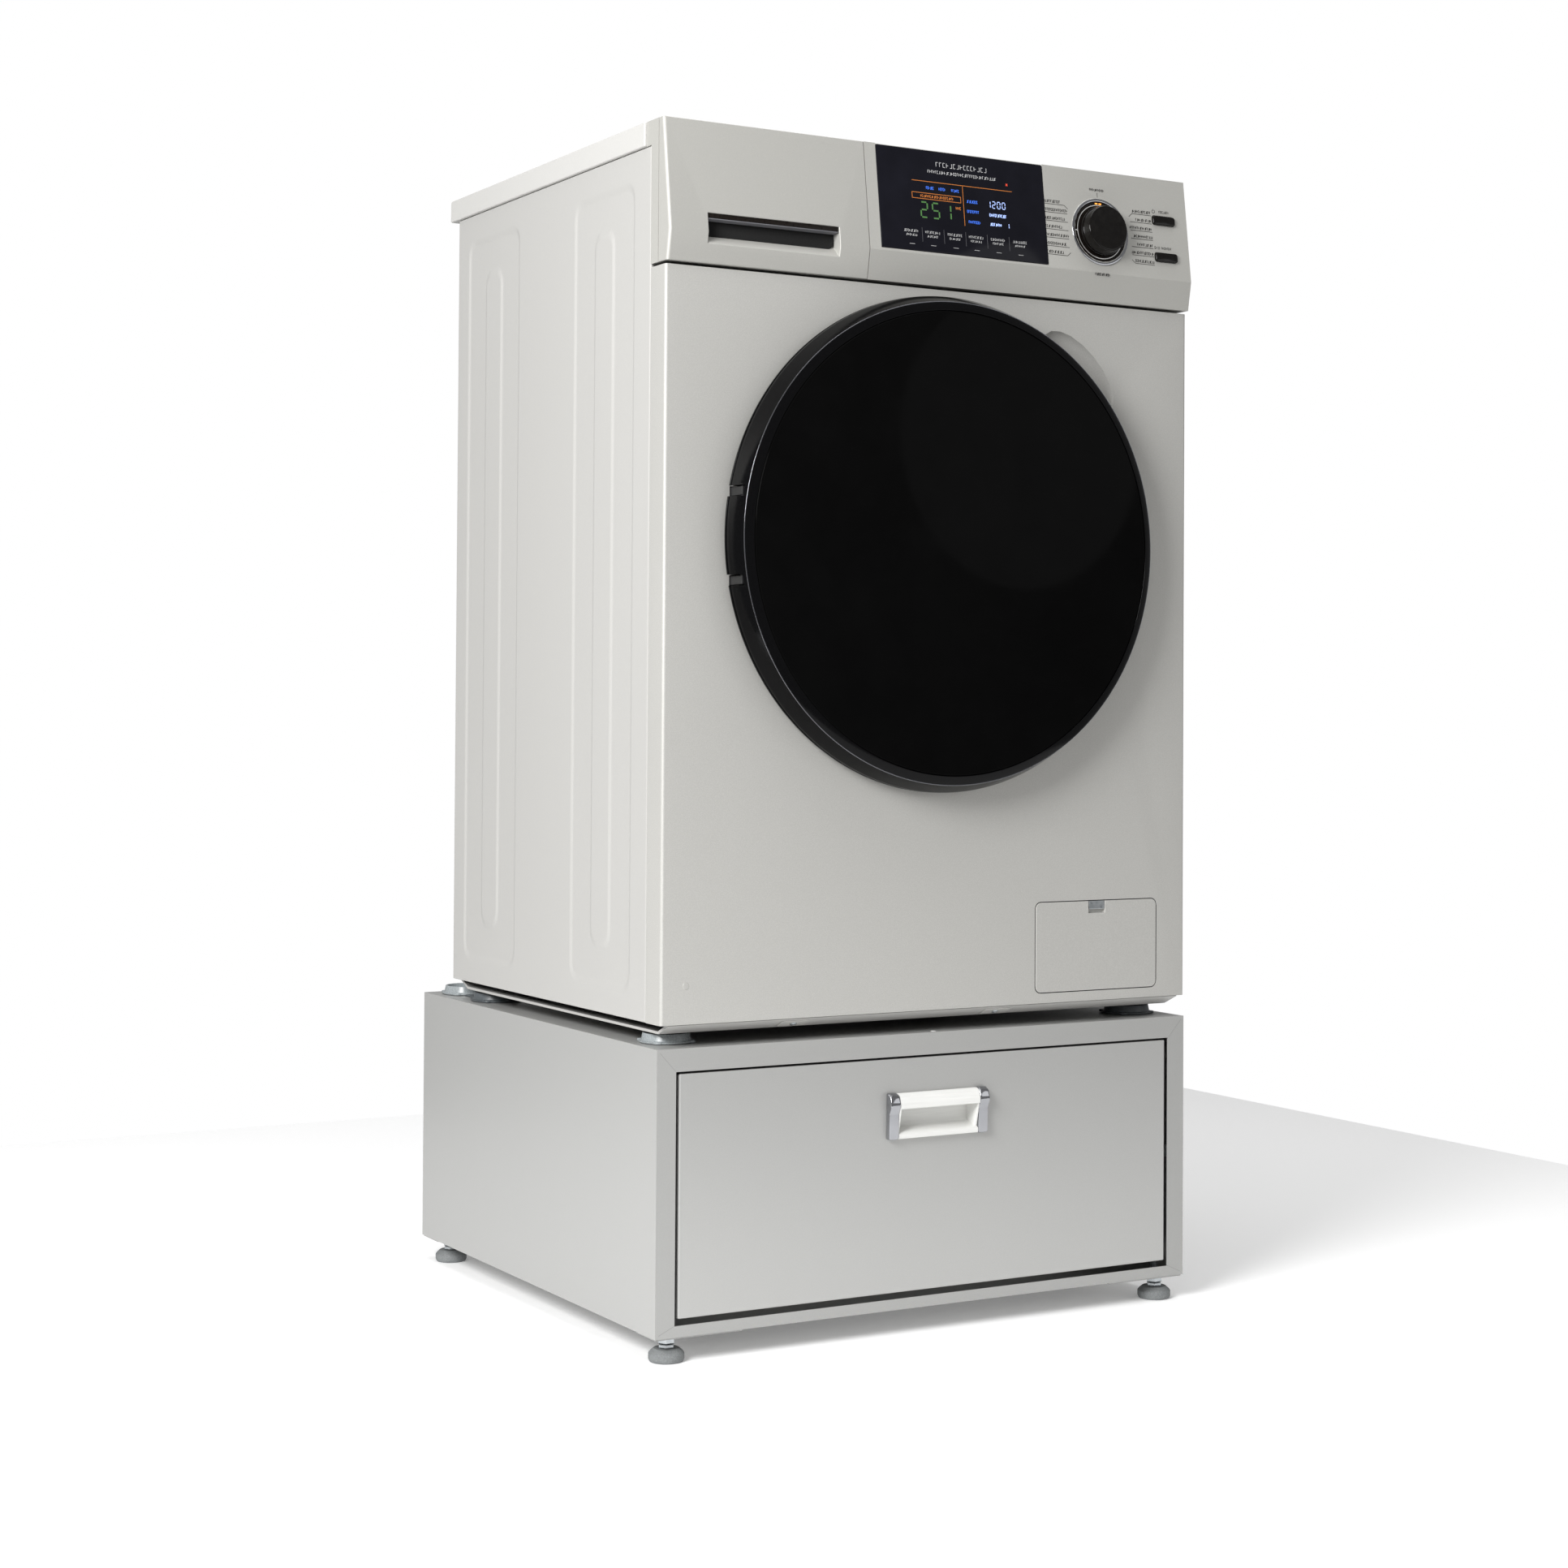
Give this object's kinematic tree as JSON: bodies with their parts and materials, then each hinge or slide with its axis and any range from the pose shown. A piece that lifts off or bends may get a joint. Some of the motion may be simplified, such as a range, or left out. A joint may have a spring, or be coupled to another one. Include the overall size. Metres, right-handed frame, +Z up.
{
  "type": "washer dryer on a drawer pedestal",
  "caption": "Front-loading washer dryer with a round glass door, control panel and detergent drawer, standing in cups on a pedestal with a storage drawer.",
  "frame": {"origin": "middle of the footprint on the floor, under the middle of the overall box", "axes": "+X to the machine's right as seen from the front, +Y towards the back, +Z up; the door and both drawers face -Y"},
  "size_m": [0.6012, 0.5924, 1.1366],
  "materials": {
    "painted_front_steel": "silver metallic powder coat, semi-gloss",
    "painted_case_steel": "pale grey powder coat, satin",
    "worktop_laminate": "pale grey laminate, satin",
    "panel_abs": "silver paint on moulded plastic, satin",
    "flap_abs": "silver paint on moulded plastic, satin",
    "black_glass": "black, glossy",
    "black_gloss_abs": "black, glossy",
    "black_abs": "dark grey, satin",
    "bowl_glass": "clear pressed glass",
    "chrome": "bright chrome plate",
    "satin_aluminium": "satin anodised",
    "zinc_plate": "zinc plated",
    "stainless_steel": "brushed",
    "gasket_rubber": "matt grey",
    "belt_rubber": "matt black",
    "foot_rubber": "matt grey",
    "dark_rubber": "matt black",
    "cup_plastic": "dark grey moulded",
    "tub_polypropylene": "natural filled polypropylene",
    "grey_plastic": "grey moulded",
    "cast_iron": "as cast",
    "circuit_board": "green circuit board"
  },
  "bodies": {
    "case": {"washer_front_panel": "painted_front_steel", "washer_side_left": "painted_case_steel", "washer_side_right": "painted_case_steel", "washer_rear_panel": "painted_case_steel", "washer_base": "painted_case_steel", "pedestal_shell": "painted_case_steel", "washer_top_cover": "worktop_laminate", "control_panel": "panel_abs", "display_window": "black_glass", "door_hinge": "black_abs", "drying_duct": "satin_aluminium", "slide_rail_left": "zinc_plate", "slide_rail_right": "zinc_plate", "tub_spring_left": "zinc_plate", "tub_spring_right": "zinc_plate", "door_gasket": "gasket_rubber", "drive_belt": "belt_rubber", "pedestal_foot_front_left": "foot_rubber", "pedestal_foot_front_right": "foot_rubber", "pedestal_foot_rear_left": "foot_rubber", "pedestal_foot_rear_right": "foot_rubber", "washer_foot_front_left": "dark_rubber", "washer_foot_front_right": "dark_rubber", "washer_foot_rear_left": "dark_rubber", "washer_foot_rear_right": "dark_rubber", "foot_cup_front_left": "cup_plastic", "foot_cup_front_right": "cup_plastic", "foot_cup_rear_left": "cup_plastic", "foot_cup_rear_right": "cup_plastic", "tub_front": "tub_polypropylene", "tub_rear": "tub_polypropylene", "dispenser_housing": "tub_polypropylene", "inlet_valve": "tub_polypropylene", "drain_pump": "tub_polypropylene", "drive_motor": "grey_plastic", "tub_damper_left": "grey_plastic", "tub_damper_right": "grey_plastic", "counterweight": "cast_iron", "control_board": "circuit_board"},
    "door": {"door_ring": "black_abs", "door_glass": "black_glass", "door_bowl": "bowl_glass", "door_inner_frame": "black_abs"},
    "door_hook": {"door_hook": "zinc_plate"},
    "detergent_drawer": {"detergent_drawer": "panel_abs"},
    "drum": {"drum": "stainless_steel", "drum_shaft": "cast_iron", "drum_pulley": "satin_aluminium"},
    "motor_rotor": {"motor_pulley": "stainless_steel"},
    "program_knob": {"program_knob": "black_gloss_abs"},
    "power_button": {"power_button": "black_gloss_abs"},
    "start_button": {"start_button": "black_gloss_abs"},
    "filter_flap": {"filter_flap": "flap_abs"},
    "flap_latch": {"flap_latch": "zinc_plate"},
    "pump_filter": {"pump_filter": "grey_plastic"},
    "pedestal_drawer": {"drawer_box": "painted_case_steel", "drawer_front": "painted_front_steel", "drawer_pull": "satin_aluminium", "pull_cap_left": "chrome", "pull_cap_right": "chrome"}
  },
  "joints": [
    {"name": "door_swing", "type": "hinge", "parent": "case", "child": "door", "pos_m": [-0.226, -0.28225, 0.7546], "axis": [0, 0, -1], "range_deg": [0, 115]},
    {"name": "door_hook_pivot", "type": "hinge", "parent": "door", "child": "door_hook", "pos_m": [0.195, -0.27425, 0.7546], "axis": [0, 0, -1], "range_deg": [0, 8], "stiffness_Nm_per_rad": 0.5},
    {"name": "detergent_slide", "type": "slide", "parent": "case", "child": "detergent_drawer", "axis": [0, -1, 0], "range_m": [0, 0.2]},
    {"name": "drum_spin", "type": "hinge", "parent": "case", "child": "drum", "pos_m": [0, -0.02025, 0.7546], "axis": [0, 1, 0], "continuous": true},
    {"name": "motor_spin", "type": "hinge", "parent": "case", "child": "motor_rotor", "pos_m": [0.11424, 0.11975, 0.44074], "axis": [0, 1, 0], "continuous": true},
    {"name": "program_turn", "type": "hinge", "parent": "case", "child": "program_knob", "pos_m": [0.1873, -0.26511, 1.0745], "axis": [0, 0.9915, -0.1302], "continuous": true},
    {"name": "power_press", "type": "slide", "parent": "case", "child": "power_button", "axis": [0, 0.9915, -0.1302], "range_m": [0, 0.0015], "stiffness_N_per_m": 1500},
    {"name": "start_press", "type": "slide", "parent": "case", "child": "start_button", "axis": [0, 0.9915, -0.1302], "range_m": [0, 0.0015], "stiffness_N_per_m": 1500},
    {"name": "flap_swing", "type": "hinge", "parent": "case", "child": "filter_flap", "pos_m": [0.1884, -0.26215, 0.3222], "axis": [1, 0, 0], "range_deg": [0, 90]},
    {"name": "flap_latch_slide", "type": "slide", "parent": "filter_flap", "child": "flap_latch", "axis": [0, 0, -1], "range_m": [0, 0.003], "stiffness_N_per_m": 300},
    {"name": "filter_turn", "type": "hinge", "parent": "case", "child": "pump_filter", "pos_m": [0.1884, -0.22025, 0.3625], "axis": [0, -1, 0], "range_deg": [0, 180]},
    {"name": "drawer_slide", "type": "slide", "parent": "case", "child": "pedestal_drawer", "axis": [0, -1, 0], "range_m": [0, 0.4]}
  ],
  "couplings": [
    {"joint": "motor_spin", "follows": "drum_spin", "ratio": 11.667}
  ]
}
